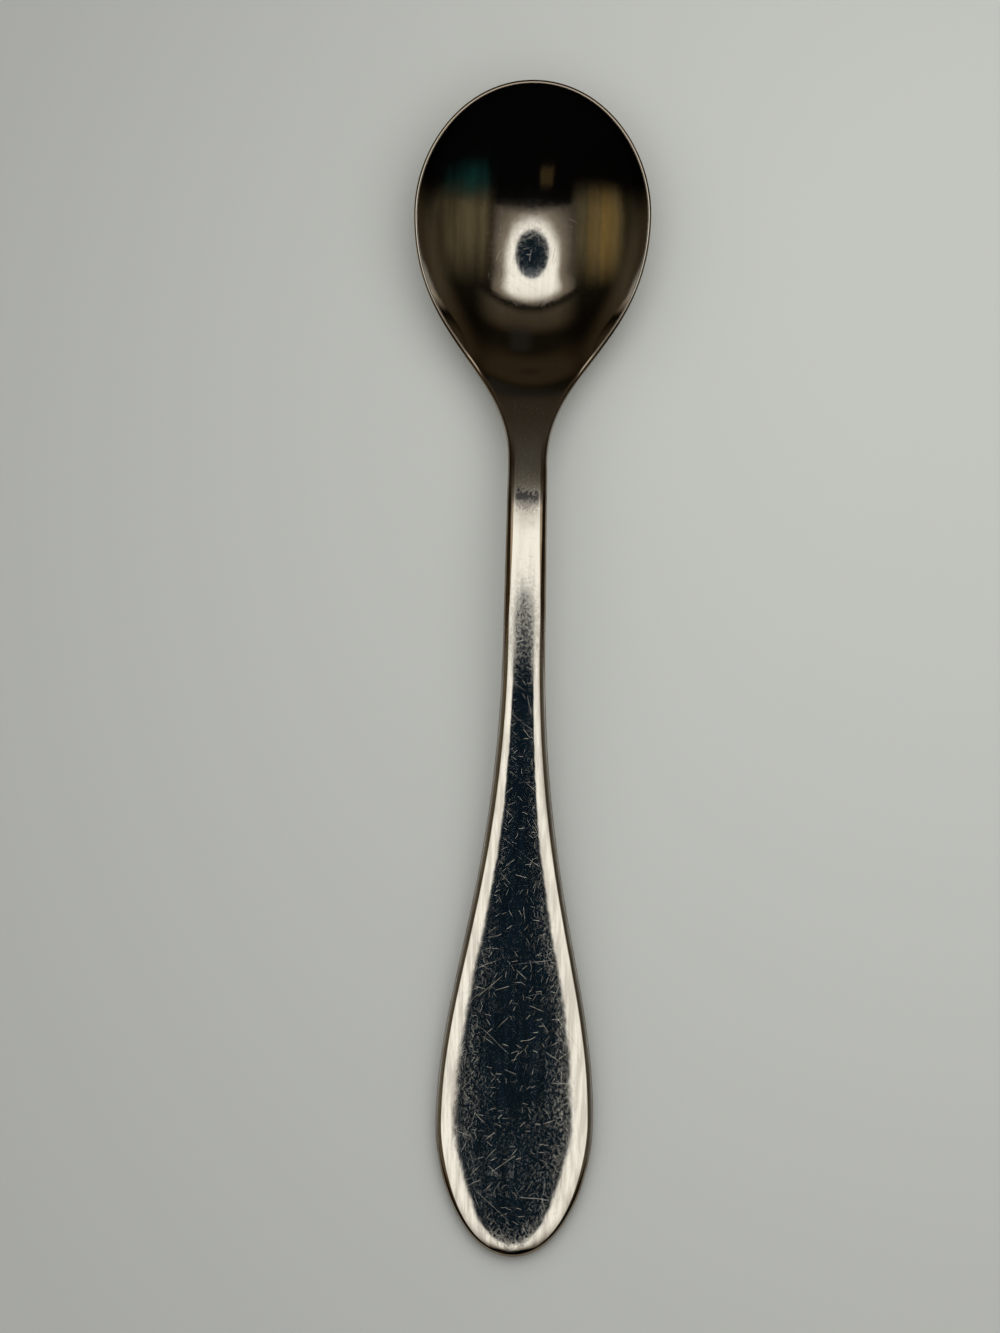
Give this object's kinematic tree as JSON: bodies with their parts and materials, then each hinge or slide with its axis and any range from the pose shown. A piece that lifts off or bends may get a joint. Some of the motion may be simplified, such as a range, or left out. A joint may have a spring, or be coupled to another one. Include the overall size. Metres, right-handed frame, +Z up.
{
  "type": "soup spoon",
  "caption": "Soup spoon in pressed steel, with a rounded oval bowl, a slim neck that rises and bends over, and a flat crowned handle that widens to a rounded end.",
  "frame": {"origin": "on the table the spoon lies on, under the middle of its length and width", "axes": "+Y along the spoon towards the tip of the bowl, +Z up out of the bowl, +X across"},
  "size_m": [0.0346, 0.17, 0.0118],
  "materials": {
    "steel": "polished, with fine scratches from use and a light brown tarnish"
  },
  "bodies": {
    "root": {"spoon": "steel"}
  },
  "joints": []
}
